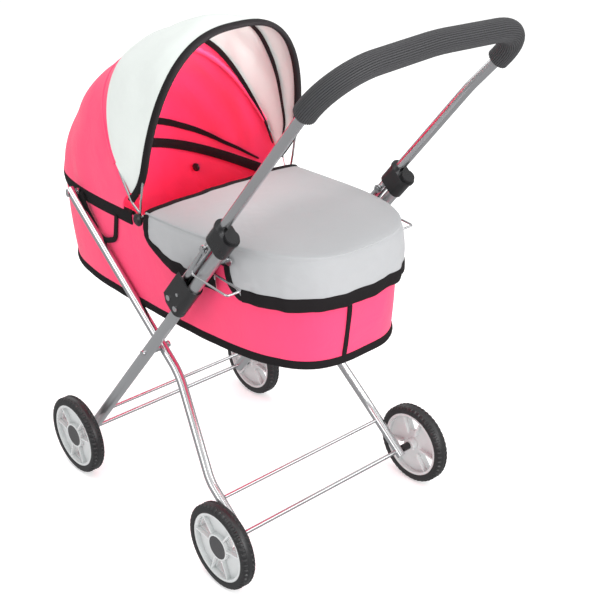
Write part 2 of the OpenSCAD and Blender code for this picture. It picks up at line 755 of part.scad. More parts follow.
// A closed sheet between an outer and an inner grid of points
module sheet(outer, inner) {
    m = len(outer);
    n = len(outer[0]);
    function at(side, j, i) = (side * m + j) * n + i;
    faces = concat(
        [for (j = [0:m - 2]) for (i = [0:n - 2]) [at(0, j, i), at(0, j + 1, i), at(0, j + 1, i + 1)]],
        [for (j = [0:m - 2]) for (i = [0:n - 2]) [at(0, j, i), at(0, j + 1, i + 1), at(0, j, i + 1)]],
        [for (j = [0:m - 2]) for (i = [0:n - 2]) [at(1, j, i), at(1, j + 1, i + 1), at(1, j + 1, i)]],
        [for (j = [0:m - 2]) for (i = [0:n - 2]) [at(1, j, i), at(1, j, i + 1), at(1, j + 1, i + 1)]],
        [for (i = [0:n - 2]) [at(0, 0, i), at(0, 0, i + 1), at(1, 0, i + 1), at(1, 0, i)]],
        [for (i = [0:n - 2]) [at(0, m - 1, i + 1), at(0, m - 1, i), at(1, m - 1, i), at(1, m - 1, i + 1)]],
        [for (j = [0:m - 2]) [at(0, j + 1, 0), at(0, j, 0), at(1, j, 0), at(1, j + 1, 0)]],
        [for (j = [0:m - 2]) [at(0, j, n - 1), at(0, j + 1, n - 1), at(1, j + 1, n - 1), at(1, j, n - 1)]]);
    polyhedron(points = concat([for (row = outer) for (p = row) p], [for (row = inner) for (p = row) p]),
        faces = faces, convexity = 8);
}

// Hood cloth between two slopes, over the bows. Its height runs evenly from one to the other.
hood_t = 1.2;
panel_low_w = 5;
panel_cols = 44;
module hood_panel(from_slope, to_slope, from_h, to_h, rows) {
    function row(f, out) = [for (i = [0:panel_cols])
        bow_point(hood_a + bow_wire_r + cloth_gap + out, from_h + (to_h - from_h) * f + bow_wire_r + cloth_gap + out,
            from_slope + (to_slope - from_slope) * f, panel_low_w + (180 - 2 * panel_low_w) * i / panel_cols)];
    sheet([for (j = [0:rows]) row(j / rows, hood_t)], [for (j = [0:rows]) row(j / rows, 0)]);
}
module hood_front_panel() {
    color(hood_grey) hood_panel(front_bow_slope - 1, middle_bow_slope - 0.3, front_bow_h, middle_bow_h, 6);
}
module hood_rear_panel() {
    color(pink) hood_panel(middle_bow_slope + 0.3, 179, middle_bow_h, cot_b - 3, 7);
}

// ---- Every sub-part by name ----

front_leg(1);  // front_leg_left
front_leg(-1);  // front_leg_right
rear_leg(1);  // rear_leg_left
rear_leg(-1);  // rear_leg_right
axle(front_track, front_axle_y);  // front_axle
axle(rear_track, rear_axle_y);  // rear_axle
brace(leg_x, front_leg_r, beside_leg(brace_offset, 0));  // front_brace
brace(leg_foot_x, rear_leg_r, rear_brace_at);  // rear_brace
crossing_pivots();
spacers(front_track, leg_x, front_leg_r, front_axle_y);  // front_spacers
spacers(rear_track, leg_foot_x, rear_leg_r, rear_axle_y);  // rear_spacers
axle_clips(front_track, front_axle_y);  // front_axle_clips
axle_clips(rear_track, rear_axle_y);  // rear_axle_clips
color(rim_grey) at_wheel(1, front_track, front_axle_y) wheel_rim();  // wheel_rim_front_left
color(rim_grey) at_wheel(-1, front_track, front_axle_y) wheel_rim();  // wheel_rim_front_right
color(rim_grey) at_wheel(1, rear_track, rear_axle_y) wheel_rim();  // wheel_rim_rear_left
color(rim_grey) at_wheel(-1, rear_track, rear_axle_y) wheel_rim();  // wheel_rim_rear_right
color(rubber) at_wheel(1, front_track, front_axle_y) tyre();  // tyre_front_left
color(rubber) at_wheel(-1, front_track, front_axle_y) tyre();  // tyre_front_right
color(rubber) at_wheel(1, rear_track, rear_axle_y) tyre();  // tyre_rear_left
color(rubber) at_wheel(-1, rear_track, rear_axle_y) tyre();  // tyre_rear_right
color(foam) at_wheel(1, front_track, front_axle_y) hub_cap();  // hub_cap_front_left
color(foam) at_wheel(-1, front_track, front_axle_y) hub_cap();  // hub_cap_front_right
color(foam) at_wheel(1, rear_track, rear_axle_y) hub_cap();  // hub_cap_rear_left
color(foam) at_wheel(-1, rear_track, rear_axle_y) hub_cap();  // hub_cap_rear_right
lower_bracket(1);  // lower_bracket_left
lower_bracket(-1);  // lower_bracket_right
bracket_rivets();
handle_pivots();
handle_tube();
foam_grip();
lock_slider(1);  // lock_slider_left
lock_slider(-1);  // lock_slider_right
bail_bolts();
safety_bail(1);  // safety_bail_left
safety_bail(-1);  // safety_bail_right
rim_wire_foot();
rim_wire_head();
rim_bolts();
leg_top_bolts();
hood_knobs();
tub_half(1);  // tub_foot
tub_half(-1);  // tub_head
base_board();
apron();
strap(1);  // strap_left
strap(-1);  // strap_right
bow(hood_a, middle_bow_h, middle_bow_slope, middle_eyelet_x);  // hood_middle_bow
bow(hood_a, front_bow_h, front_bow_slope, front_eyelet_x);  // hood_front_bow
hood_rear_panel();
hood_front_panel();
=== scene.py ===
import math

import bpy
from mathutils import Matrix, Vector, noise


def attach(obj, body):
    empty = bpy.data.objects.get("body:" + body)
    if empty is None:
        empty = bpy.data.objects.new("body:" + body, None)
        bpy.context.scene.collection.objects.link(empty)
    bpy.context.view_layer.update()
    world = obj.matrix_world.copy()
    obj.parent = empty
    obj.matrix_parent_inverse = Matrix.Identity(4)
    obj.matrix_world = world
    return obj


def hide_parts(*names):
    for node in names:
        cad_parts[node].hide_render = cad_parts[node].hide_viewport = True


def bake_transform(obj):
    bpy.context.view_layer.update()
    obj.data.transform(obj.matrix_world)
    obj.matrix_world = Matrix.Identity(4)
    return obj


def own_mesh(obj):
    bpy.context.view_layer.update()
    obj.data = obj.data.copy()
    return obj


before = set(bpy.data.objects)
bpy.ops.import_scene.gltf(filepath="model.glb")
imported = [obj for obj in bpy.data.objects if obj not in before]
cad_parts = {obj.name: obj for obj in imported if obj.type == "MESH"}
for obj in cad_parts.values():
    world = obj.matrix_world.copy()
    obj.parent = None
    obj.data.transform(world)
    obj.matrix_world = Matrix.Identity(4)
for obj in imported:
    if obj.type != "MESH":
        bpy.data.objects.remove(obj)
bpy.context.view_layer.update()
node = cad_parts

# ---- Camera ----
# It stands beyond the handle, to the left of the person who pushes the stroller. It looks down on the apron
# and into the hood.
camera_place = Vector((0.9200, 1.1774, 1.0231))
turn, tip, lean = math.radians(139.429), math.radians(25.804), math.radians(-1.567)
back = Vector((math.sin(turn) * math.cos(tip), -math.cos(turn) * math.cos(tip), math.sin(tip)))
right = Vector((0, 0, 1)).cross(back).normalized()
up = back.cross(right)
right, up = right * math.cos(lean) + up * math.sin(lean), up * math.cos(lean) - right * math.sin(lean)
camera_data = bpy.data.cameras.new("camera")
camera_data.sensor_width = 36
camera_data.lens = 72.14
camera = bpy.data.objects.new("camera", camera_data)
bpy.context.scene.collection.objects.link(camera)
camera.matrix_world = Matrix.Translation(camera_place) @ Matrix((right, up, back)).transposed().to_4x4()
bpy.context.scene.camera = camera
bpy.context.scene.view_settings.view_transform = "Standard"

# ---- Studio ----
# A pale floor that glows a little, soft lamps on every side and a narrow one aimed into the hood. The sky
# is white above and greyer at the horizon. Metal doesn't mirror the floor, so that it shows a light and a
# dark side.
bpy.ops.object.select_all(action="DESELECT")
bpy.ops.mesh.primitive_plane_add(size=200, location=(0, 0, -0.0005))
floor = bpy.context.object
floor.name = "studio_floor"
floor_paint = bpy.data.materials.new("studio_floor")
floor_paint.use_nodes = True
floor_paint.node_tree.nodes["Principled BSDF"].inputs["Base Color"].default_value = (0.93, 0.93, 0.93, 1)
floor_paint.node_tree.nodes["Principled BSDF"].inputs["Roughness"].default_value = 0.9
floor_paint.node_tree.nodes["Principled BSDF"].inputs["Emission Color"].default_value = (1, 1, 1, 1)
floor_paint.node_tree.nodes["Principled BSDF"].inputs["Emission Strength"].default_value = 0.35
floor.data.materials.append(floor_paint)

floor.visible_glossy = False
cot_middle = (0, 0, 0.4)
for name, place, toward, size, power, beam in (
    ("lamp_over", (0.3, 0.2, 2.6), cot_middle, 2.4, 27, 180),
    ("lamp_right", (-1.6, 2.0, 1.7), cot_middle, 1.4, 16, 180),
    ("lamp_left", (2.4, 0.2, 1.3), cot_middle, 1.2, 10, 180),
    ("lamp_behind", (-0.6, -2.4, 1.6), cot_middle, 1.4, 9, 180),
    ("lamp_front", (0.15, 1.9, 0.85), cot_middle, 0.9, 18, 180),
    ("lamp_hood", (0, 0.16, 0.62), (0, -0.30, 0.55), 0.20, 0.55, 70),
):
    lamp_data = bpy.data.lights.new(name, "AREA")
    lamp_data.size = size
    lamp_data.energy = power
    lamp_data.spread = math.radians(beam)
    lamp = bpy.data.objects.new(name, lamp_data)
    bpy.context.scene.collection.objects.link(lamp)
    aim = Vector(toward) - Vector(place)
    lamp.visible_camera = False
    lamp.matrix_world = Matrix.Translation(place) @ aim.to_track_quat("-Z", "Y").to_matrix().to_4x4()

sky = bpy.data.worlds.new("studio_sky")
bpy.context.scene.world = sky
sky.use_nodes = True
sky_nodes, sky_links = sky.node_tree.nodes, sky.node_tree.links
sky_place = sky_nodes.new("ShaderNodeTexCoord")
sky_height = sky_nodes.new("ShaderNodeSeparateXYZ")
sky_ramp = sky_nodes.new("ShaderNodeValToRGB")
sky_ramp.color_ramp.elements[0].position = 0.02
sky_ramp.color_ramp.elements[0].color = (0.60, 0.60, 0.61, 1)
sky_ramp.color_ramp.elements[1].position = 0.42
sky_ramp.color_ramp.elements[1].color = (1, 1, 1, 1)
sky_links.new(sky_place.outputs["Generated"], sky_height.inputs[0])
sky_links.new(sky_height.outputs["Z"], sky_ramp.inputs[0])
sky_links.new(sky_ramp.outputs[0], sky_nodes["Background"].inputs["Color"])
sky_nodes["Background"].inputs["Strength"].default_value = 0.72

# ---- Steel tubes, rods and wires ----
# The front legs are satin silver tube, and the rear legs, the handle and all wires are brighter, plated
# steel. Fine draw marks run through the plating, and the shine varies a little from handling.
def finish(
    name, colour, rough, metal=0.0, spots=0.0, grain=0.0, grain_size=900,
    sheen=0.0, glance=0.5, rough_spread=0.08,
):
    paint = bpy.data.materials.new(name)
    paint.use_nodes = True
    nodes, links = paint.node_tree.nodes, paint.node_tree.links
    shader = nodes["Principled BSDF"]
    shader.inputs["Metallic"].default_value = metal
    shader.inputs["Sheen Weight"].default_value = sheen
    shader.inputs["Specular IOR Level"].default_value = glance
    place = nodes.new("ShaderNodeTexCoord")
    cloud = nodes.new("ShaderNodeTexNoise")
    cloud.inputs["Scale"].default_value = 22
    cloud.inputs["Detail"].default_value = 4
    links.new(place.outputs["Object"], cloud.inputs["Vector"])
    tint = nodes.new("ShaderNodeMix")
    tint.data_type = "RGBA"
    tint.inputs[6].default_value = (*[c * (1 - spots) for c in colour], 1)
    tint.inputs[7].default_value = (*[min(1, c * (1 + spots)) for c in colour], 1)
    links.new(cloud.outputs["Fac"], tint.inputs[0])
    links.new(tint.outputs[2], shader.inputs["Base Color"])
    shine = nodes.new("ShaderNodeMapRange")
    shine.inputs["To Min"].default_value = max(0.02, rough - rough_spread)
    shine.inputs["To Max"].default_value = min(1, rough + rough_spread)
    links.new(cloud.outputs["Fac"], shine.inputs["Value"])
    links.new(shine.outputs[0], shader.inputs["Roughness"])
    if grain:
        fine = nodes.new("ShaderNodeTexNoise")
        fine.inputs["Scale"].default_value = grain_size
        fine.inputs["Detail"].default_value = 2
        links.new(place.outputs["Object"], fine.inputs["Vector"])
        bump = nodes.new("ShaderNodeBump")
        bump.inputs["Strength"].default_value = grain
        bump.inputs["Distance"].default_value = 0.0006
        links.new(fine.outputs["Fac"], bump.inputs["Height"])
        links.new(bump.outputs[0], shader.inputs["Normal"])
    return paint


satin_steel = finish("satin_steel", (0.68, 0.69, 0.70), 0.32, metal=1, spots=0.05, grain=0.05)
bright_steel = finish(
    "bright_steel", (0.64, 0.645, 0.655), 0.22, metal=1, spots=0.05, grain=0.03, rough_spread=0.06
)


def wear(paint, *names):
    for name in names:
        node[name].data.materials.clear()
        node[name].data.materials.append(paint)


wear(satin_steel, "front_leg_left", "front_leg_right")
wear(
    bright_steel,
    *("front_axle", "rear_axle", "front_brace", "rear_brace", "crossing_pivots"),
    *("front_axle_clips", "rear_axle_clips", "bracket_rivets", "handle_pivots", "bail_bolts"),
    *("safety_bail_left", "safety_bail_right", "rim_wire_foot", "rim_wire_head", "rim_bolts"),
    *("leg_top_bolts", "hood_middle_bow", "hood_front_bow"),
)

# The rear legs and the handle are each one bent tube, swept along its own line and closed at its ends.
LEG_X, SLOPE = 0.145, math.radians(48.6)


def beside_leg(s, t):
    return (
        -0.221 + s * math.cos(SLOPE) - t * math.sin(SLOPE),
        0.06 + s * math.sin(SLOPE) + t * math.cos(SLOPE),
    )


def bent(corners, radii, steps=12):
    points = [Vector(corners[0])]
    for before, corner, after, radius in zip(corners, corners[1:], corners[2:], radii):
        a = (Vector(corner) - Vector(before)).normalized()
        b = (Vector(after) - Vector(corner)).normalized()
        angle = a.angle(b)
        inward = (b - a * a.dot(b)).normalized()
        centre = Vector(corner) - a * radius * math.tan(angle / 2) + inward * radius
        for k in range(steps + 1):
            q = angle * k / steps
            points.append(centre - inward * radius * math.cos(q) + a * radius * math.sin(q))
    return points + [Vector(corners[-1])]


def swept(name, points, radius, paint, section=None):
    line = bpy.data.curves.new(name, "CURVE")
    line.dimensions = "3D"
    spline = line.splines.new("POLY")
    spline.points.add(len(points) - 1)
    for spot, p in zip(spline.points, points):
        spot.co = (*p, 1)
    line.use_fill_caps = True
    if section:
        line.bevel_mode = "OBJECT"
        line.bevel_object = section
    else:
        line.bevel_depth = radius
        line.bevel_resolution = 8
    piece = bpy.data.objects.new(name, line)
    bpy.context.scene.collection.objects.link(piece)
    bpy.ops.object.select_all(action="DESELECT")
    piece.select_set(True)
    bpy.context.view_layer.objects.active = piece
    bpy.ops.object.convert(target="MESH")
    piece = bpy.context.object
    piece.data.materials.clear()
    piece.data.materials.append(paint)
    bpy.ops.object.mode_set(mode="EDIT")
    bpy.ops.mesh.select_all(action="SELECT")
    bpy.ops.mesh.remove_doubles(threshold=0.00001)
    bpy.ops.mesh.normals_make_consistent(inside=False)
    bpy.ops.object.mode_set(mode="OBJECT")
    bpy.ops.object.shade_smooth_by_angle(angle=math.radians(35))
    return piece


crossing = Vector((0, *beside_leg(0.266, 0)))
cot_bolt = Vector((0, -0.229, 0.434))
run = (crossing - cot_bolt).normalized()
ankle = Vector((0, 0.08, 0.112))
foot_run = (Vector((0, 0.143, 0.06)) - ankle).normalized()
for side, hand in ((1, "left"), (-1, "right")):
    corners = [
        cot_bolt - run * 0.007 + Vector((0.130 * side, 0, 0)),
        crossing + run * 0.046 + Vector((0.120 * side, 0, 0)),
        ankle + Vector((0.146 * side, 0, 0)),
        Vector((0.146 * side, 0.143, 0.06)) + foot_run * 0.009,
    ]
    rear_leg = swept(f"rear_leg_tube_{hand}", bent(corners, (0.150, 0.090), 14), 0.0065, bright_steel)
    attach(rear_leg, "rear_frame")
    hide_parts(f"rear_leg_{hand}")

handle_end, handle_bend = beside_leg(0.3925, 0.017), beside_leg(0.739, 0.017)
handle_corner = (handle_bend[0] + (0.711 - handle_bend[1]) / math.tan(math.radians(46)), 0.711)
half = [(LEG_X, *handle_end), (LEG_X, *handle_bend), (0.153, *handle_corner)]
handle_line = half + [(0, handle_corner[0] - 0.004, 0.717)] + [(-x, y, z) for x, y, z in reversed(half)]
handle = swept("handle_bent_tube", bent(handle_line, (0.2, 0.058, 0.4, 0.058, 0.2), 14), 0.0065, bright_steel)
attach(handle, "handle")
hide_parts("handle_tube")

# ---- Foam grip ----
# A dark grey foam sleeve pushed over the handle's bend. It is extruded with fine ribs along its length, and
# its ends are cut off square and a little rounded.
grip_foam = finish("grip_foam", (0.045, 0.045, 0.048), 0.62, spots=0.12, grain=0.35, grain_size=1500)
RIBS = 34
bpy.ops.object.select_all(action="DESELECT")
bpy.ops.mesh.primitive_circle_add(vertices=RIBS * 4, radius=0.0135)
rib_ring = bpy.context.object
for spot in rib_ring.data.vertices:
    if spot.index % 4 == 0:
        spot.co *= 0.938
bpy.ops.object.convert(target="CURVE")
rib_ring = bpy.context.object


def between(a, b, f):
    return Vector(a) + (Vector(b) - Vector(a)) * f


GRIP_FROM = 0.45
grip_line = [between(half[1], half[2], GRIP_FROM)] + handle_line[2:5]
grip_line.append(Vector((-grip_line[0][0], *grip_line[0][1:])))
grip = swept("foam_grip_ribbed", bent(grip_line, (0.058, 0.4, 0.058), 16), 0, grip_foam, rib_ring)
bpy.data.objects.remove(rib_ring)
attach(grip, "handle")
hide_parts("foam_grip")

# ---- Wheels ----
# Light grey moulded rims with three pairs of ribs, dark caps pressed into the hubs, and hard black tyres.
wheel_plastic = finish("wheel_plastic", (0.60, 0.62, 0.62), 0.38, spots=0.04, grain=0.05, grain_size=500)
cap_plastic = finish("cap_plastic", (0.06, 0.06, 0.063), 0.45, spots=0.08, grain=0.25, grain_size=1200)
black_plastic = finish("black_plastic", (0.011, 0.011, 0.012), 0.30, spots=0.15, grain=0.12, grain_size=1000)
tyre_rubber = finish("tyre_rubber", (0.016, 0.016, 0.017), 0.42, spots=0.2, grain=0.15, grain_size=700)
for end in ("front", "rear"):
    wear(black_plastic, f"{end}_spacers")
    for hand in ("left", "right"):
        wear(wheel_plastic, f"wheel_rim_{end}_{hand}")
        wear(cap_plastic, f"hub_cap_{end}_{hand}")

# The tyre is a band with round shoulders. A row of small lugs stands on each shoulder, with a smooth belt
# between.
TYRE_STEPS = 240
tyre_section = [
    (0.0485, -0.0088), (0.0500, -0.0098), (0.0540, -0.0100),
    (0.0562, -0.0096), (0.0578, -0.0085), (0.0590, -0.0070),
    (0.0596, -0.0050), (0.0588, -0.0036), (0.0594, -0.0020), (0.0596, 0.0),
]
tyre_section += [(r, -x) for r, x in reversed(tyre_section[:-1])]
tyre_mesh = bpy.data.meshes.new("tyre")
ring_size = len(tyre_section)
ring_edges = [(i, (i + 1) % ring_size) for i in range(ring_size)]
tyre_mesh.from_pydata([(x, 0, r) for r, x in tyre_section], ring_edges, [])
tyre_model = bpy.data.objects.new("tyre_model", tyre_mesh)
bpy.context.scene.collection.objects.link(tyre_model)
bpy.ops.object.select_all(action="DESELECT")
tyre_model.select_set(True)
bpy.context.view_layer.objects.active = tyre_model
bpy.ops.object.mode_set(mode="EDIT")
bpy.ops.mesh.select_all(action="SELECT")
bpy.ops.mesh.spin(steps=TYRE_STEPS, angle=2 * math.pi, center=(0, 0, 0), axis=(1, 0, 0))
bpy.ops.mesh.select_all(action="SELECT")
bpy.ops.mesh.remove_doubles(threshold=0.00001)
bpy.ops.mesh.normals_make_consistent(inside=False)
bpy.ops.object.mode_set(mode="OBJECT")
LUG = 5
for spot in tyre_model.data.vertices:
    x, y, z = spot.co
    r = math.hypot(y, z)
    step = round(math.atan2(z, y) / (2 * math.pi) * TYRE_STEPS) % TYRE_STEPS
    if r > 0.0570 and abs(x) > 0.0045:
        groove = (step + (2 if x > 0 else 0)) % LUG < 2
        lower = 0.0014 if groove else -0.0003
        spot.co = (x, y * (r - lower) / r, z * (r - lower) / r)
bpy.ops.object.shade_smooth_by_angle(angle=math.radians(25))
tyre_model.data.materials.append(tyre_rubber)
for end, track, axle_y in (("front", 0.340, -0.221), ("rear", 0.358, 0.143)):
    for side, hand in ((1, "left"), (-1, "right")):
        tyre = tyre_model.copy()
        tyre.data = tyre_model.data.copy()
        tyre.name = f"treaded_tyre_{end}_{hand}"
        bpy.context.scene.collection.objects.link(tyre)
        tyre.data.transform(Matrix.Translation((side * track / 2, axle_y, 0.06)))
        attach(tyre, f"wheel_{end}_{hand}")
        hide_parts(f"tyre_{end}_{hand}")
bpy.data.objects.remove(tyre_model)

# ---- Brackets, locks and knobs ----
# Black moulded clevises on the legs, sliding lock blocks on the handle, and round knobs on the hinge of the
# hood.
for hand in ("left", "right"):
    wear(black_plastic, f"lower_bracket_{hand}", f"lock_slider_{hand}")
wear(black_plastic, "hood_knobs")


# ---- Carrycot tub ----
# Bright pink woven nylon, lined and lightly padded, in the shape of a rounded oblong basket. It hangs from
# the wire rim, and it is sewn in two halves here because the frame folds at the knobs. Black tape binds its
# rim and its floor.
def nylon(name, colour, weave=0.35, spots=0.06, rough=0.62, sheen=0.12, glance=0.35):
    cloth = finish(name, colour, rough, spots=spots, sheen=sheen, glance=glance)
    nodes, links = cloth.node_tree.nodes, cloth.node_tree.links
    place = nodes.new("ShaderNodeTexCoord")
    threads = nodes.new("ShaderNodeTexVoronoi")
    threads.inputs["Scale"].default_value = 1100
    threads.inputs["Randomness"].default_value = 0.25
    links.new(place.outputs["Object"], threads.inputs["Vector"])
    creases = nodes.new("ShaderNodeTexNoise")
    creases.inputs["Scale"].default_value = 26
    creases.inputs["Detail"].default_value = 3
    creases.inputs["Distortion"].default_value = 0.6
    links.new(place.outputs["Object"], creases.inputs["Vector"])
    soft = nodes.new("ShaderNodeBump")
    soft.inputs["Strength"].default_value = 0.35
    soft.inputs["Distance"].default_value = 0.004
    links.new(creases.outputs["Fac"], soft.inputs["Height"])
    fine = nodes.new("ShaderNodeBump")
    fine.inputs["Strength"].default_value = weave
    fine.inputs["Distance"].default_value = 0.0003
    links.new(threads.outputs["Distance"], fine.inputs["Height"])
    links.new(soft.outputs[0], fine.inputs["Normal"])
    links.new(fine.outputs[0], nodes["Principled BSDF"].inputs["Normal"])
    return cloth


pink_nylon = nylon("pink_nylon", (0.90, 0.045, 0.15))
grey_nylon = nylon("grey_nylon", (0.375, 0.38, 0.39), spots=0.03)
pale_nylon = nylon("pale_nylon", (0.66, 0.70, 0.675), spots=0.03)
black_tape = nylon(
    "black_tape", (0.010, 0.008, 0.009), weave=0.8, spots=0.2, rough=0.8, sheen=0.0, glance=0.2
)
wear(pink_nylon, "base_board")

KNOB_Y, KNOB_Z, RIM_Z, COT_Y = -0.062, 0.442, 0.438, -0.062
COT_N = 3.3


def power(v, e):
    return math.copysign(abs(v) ** e, v)


def oval(a, b, w):
    return Vector((a * power(math.cos(w), 2 / COT_N), COT_Y + b * power(math.sin(w), 2 / COT_N), 0))


def even(line, count):
    # Spreads count points evenly along a line given by many points
    lengths = [0.0]
    for p, q in zip(line, line[1:]):
        lengths.append(lengths[-1] + (q - p).length)
    out, k = [], 0
    for i in range(count):
        want = lengths[-1] * i / (count - 1)
        while k < len(line) - 2 and lengths[k + 1] < want:
            k += 1
        f = (want - lengths[k]) / max(1e-9, lengths[k + 1] - lengths[k])
        out.append(line[k].lerp(line[k + 1], f))
    return out


def half_oval(a, b, end, count, low=0.0):
    fine = [oval(a, b, end * (low + (math.pi - 2 * low) * i / 600)) for i in range(601)]
    return even(fine, count)


def cloth(name, rows, thickness, paint, skip=None, offset=0.0):
    # A sheet through rows of points, given its thickness on one or both sides
    n = len(rows[0])
    spots = [tuple(p) for row in rows for p in row]
    faces = []
    for j in range(len(rows) - 1):
        for i in range(n - 1):
            if not (skip and skip(j, i)):
                k = i + 1
                faces.append((j * n + i, j * n + k, (j + 1) * n + k, (j + 1) * n + i))
    mesh = bpy.data.meshes.new(name)
    mesh.from_pydata(spots, [], faces)
    piece = bpy.data.objects.new(name, mesh)
    bpy.context.scene.collection.objects.link(piece)
    mesh.materials.append(paint)
    bpy.ops.object.select_all(action="DESELECT")
    piece.select_set(True)
    bpy.context.view_layer.objects.active = piece
    bpy.ops.object.mode_set(mode="EDIT")
    bpy.ops.mesh.select_all(action="SELECT")
    bpy.ops.mesh.remove_doubles(threshold=0.00002)
    bpy.ops.mesh.delete_loose()
    bpy.ops.object.mode_set(mode="OBJECT")
    soften = piece.modifiers.new("soften", "SUBSURF")
    soften.levels = soften.render_levels = 1
    bpy.ops.object.modifier_apply(modifier="soften")
    wall = piece.modifiers.new("wall", "SOLIDIFY")
    wall.thickness = thickness
    wall.offset = offset
    bpy.ops.object.modifier_apply(modifier="wall")
    bpy.ops.object.shade_smooth_by_angle(angle=math.radians(50))
    return piece


def ripple(p, size, height, seed):
    return height * noise.noise(Vector(p) / size + Vector((seed, 0, 0)))


TUB_STEPS = 72
TUB_TOP, TUB_DEPTH = 0.4385, 0.134
tub_rows_z = [TUB_TOP, 0.4355, 0.430, 0.422, 0.410, 0.395, 0.378, 0.360, 0.342, 0.326, 0.314, 0.3075, 0.3045]


def tub_bulge(p, z):
    # The cloth's soft waves. The long sides stay just clear of the legs.
    f = (TUB_TOP - z) / TUB_DEPTH
    toward = Vector((p.x, p.y - COT_Y, 0)).normalized()
    pull = ripple((p.x, p.y, z * 0.45), 0.055, 0.0034, 3) * math.sin(max(0, min(1, f)) * math.pi) ** 0.7
    pull -= 0.0012 * math.sin(f * math.pi) if abs(p.x) > 0.1 else 0
    return toward * pull * (1.0 if abs(p.y - COT_Y) > 0.2 else 0.35)


def tub_wall(end):
    rows = []
    for z in tub_rows_z:
        f = (TUB_TOP - z) / TUB_DEPTH
        a = 0.1200 - 0.0055 * f + 0.0004 * math.sin(f * math.pi)
        b = 0.2855 - 0.009 * f + 0.003 * math.sin(f * math.pi)
        row = half_oval(a, b, end, TUB_STEPS)
        out = []
        for p in row:
            q = p + tub_bulge(p, z)
            out.append(Vector((q.x, q.y, z)))
        rows.append(out)
    foot_of_wall = rows[-1]
    for k, shrink in enumerate((0.985, 0.93, 0.8, 0.55, 0.28, 0.02)):
        floor_z = 0.3040 + 0.0002 * k
        rows.append([Vector((p.x * shrink, COT_Y + (p.y - COT_Y) * shrink, floor_z)) for p in foot_of_wall])
    return rows


for end, name in ((1, "foot"), (-1, "head")):
    tub = cloth(f"tub_cloth_{name}", tub_wall(end), 0.0024, pink_nylon, offset=-end)
    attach(tub, f"cot_{name}")
    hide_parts(f"tub_{name}")
    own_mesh(tub)

# ---- Tapes on the tub ----
# Black woven tape, folded over the rim and over the seam round the floor, with one short tape down the foot
# end.
def tape(name, rows, body, thickness, skip=None):
    strip = cloth(name, rows, thickness, black_tape, skip=skip)
    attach(strip, body)
    return strip


KNOB_CLEAR = 0.022
# Heights and offsets across each tape, from its outer edge over the top and down inside
RIM_FOLD = [(0.4235, 0.0010), (0.4270, 0.0022), (0.4330, 0.0029), (0.4395, 0.0030)]
RIM_FOLD += [(0.4425, 0.0015), (0.4425, -0.0020), (0.4390, -0.0036), (0.4300, -0.0040)]
FLOOR_FOLD = [(0.3145, 0.0006), (0.3125, 0.0026), (0.3085, 0.0036)]
FLOOR_FOLD += [(0.3045, 0.0034), (0.3015, 0.0016), (0.3015, -0.003)]
for end, name in ((1, "foot"), (-1, "head")):
    low = 0.0 if end > 0 else KNOB_CLEAR
    rim_rows = []
    for z, out in RIM_FOLD:
        line = half_oval(0.1205 + out, 0.2858 + out, end, TUB_STEPS, low)
        rim_rows.append([Vector((p.x, p.y, z + ripple(p, 0.045, 0.0012, 6) * (z < 0.43))) for p in line])
    rim_tape = tape(f"rim_tape_{name}", rim_rows, f"cot_{name}", 0.0016)
    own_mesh(rim_tape)
    floor_rows = []
    for z, out in FLOOR_FOLD:
        line = half_oval(0.1143 + out, 0.2770 + out, end, TUB_STEPS)
        floor_rows.append([Vector((p.x, p.y, z + ripple(p, 0.03, 0.0008, 9))) for p in line])
    floor_tape = tape(f"floor_tape_{name}", floor_rows, f"cot_{name}", 0.0026)
    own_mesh(floor_tape)


def tub_surface(x, z, out):
    # A point on the foot end of the tub's wall
    f = (TUB_TOP - z) / TUB_DEPTH
    a = 0.1200 - 0.0055 * f
    b = 0.2855 - 0.009 * f + 0.003 * math.sin(f * math.pi) + out
    p = Vector((x, COT_Y + b * (1 - (abs(x) / a) ** COT_N) ** (1 / COT_N), z))
    return p + tub_bulge(p, z)


end_rows = []
for d in (-0.0030, 0.0, 0.0030):
    row = []
    for k in range(10):
        down = k / 9
        x, z = 0.0255 + 0.004 * down + d, 0.3900 - 0.0780 * down
        row.append(tub_surface(x, z, 0.0024 + 0.0004 * math.sin(k)))
    end_rows.append(row)
end_tape = tape("foot_end_tape", end_rows, "cot_foot", 0.0030)
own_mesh(end_tape)

# A round black button sewn through the wall at the head
bpy.ops.object.select_all(action="DESELECT")
bpy.ops.mesh.primitive_cylinder_add(vertices=48, radius=0.0065, depth=0.0030)
button = bpy.context.object
button.name = "head_button"
button.data.materials.append(black_plastic)
round_edge = button.modifiers.new("round_edge", "BEVEL")
round_edge.width = 0.0011
round_edge.segments = 3
bpy.ops.object.modifier_apply(modifier="round_edge")
bpy.ops.object.shade_smooth_by_angle(angle=math.radians(35))
button_inward = Vector((0.975, 0.22, 0))
button_turn = button_inward.to_track_quat("Z", "Y").to_matrix().to_4x4()
button.data.transform(Matrix.Translation((-0.1040, -0.2554, 0.4064)) @ button_turn)
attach(button, "cot_head")

# ---- Apron ----
# A light grey nylon cover over the foot end. Its top is sewn to a skirt that hangs outside the rim, with a
# slot on each side for the front leg, and black tape binds every free edge.
APRON_A, APRON_B, APRON_Y = 0.1285, 0.2905, -0.050
SLOT_HEAD = 0.086
APRON_STEPS = 160
outline = [p for p in half_oval(APRON_A, APRON_B, 1, 900) if p.y >= APRON_Y]
outline = even(outline, APRON_STEPS)
SEAM_Z = 0.4530


def slot_foot(f):
    # The slot widens toward the foot near the skirt's lower edge
    return 0.108 + 0.022 * f**4


def on_outline(side, y):
    return Vector((side * APRON_A * (1 - (abs(y - COT_Y) / APRON_B) ** COT_N) ** (1 / COT_N), y, 0))


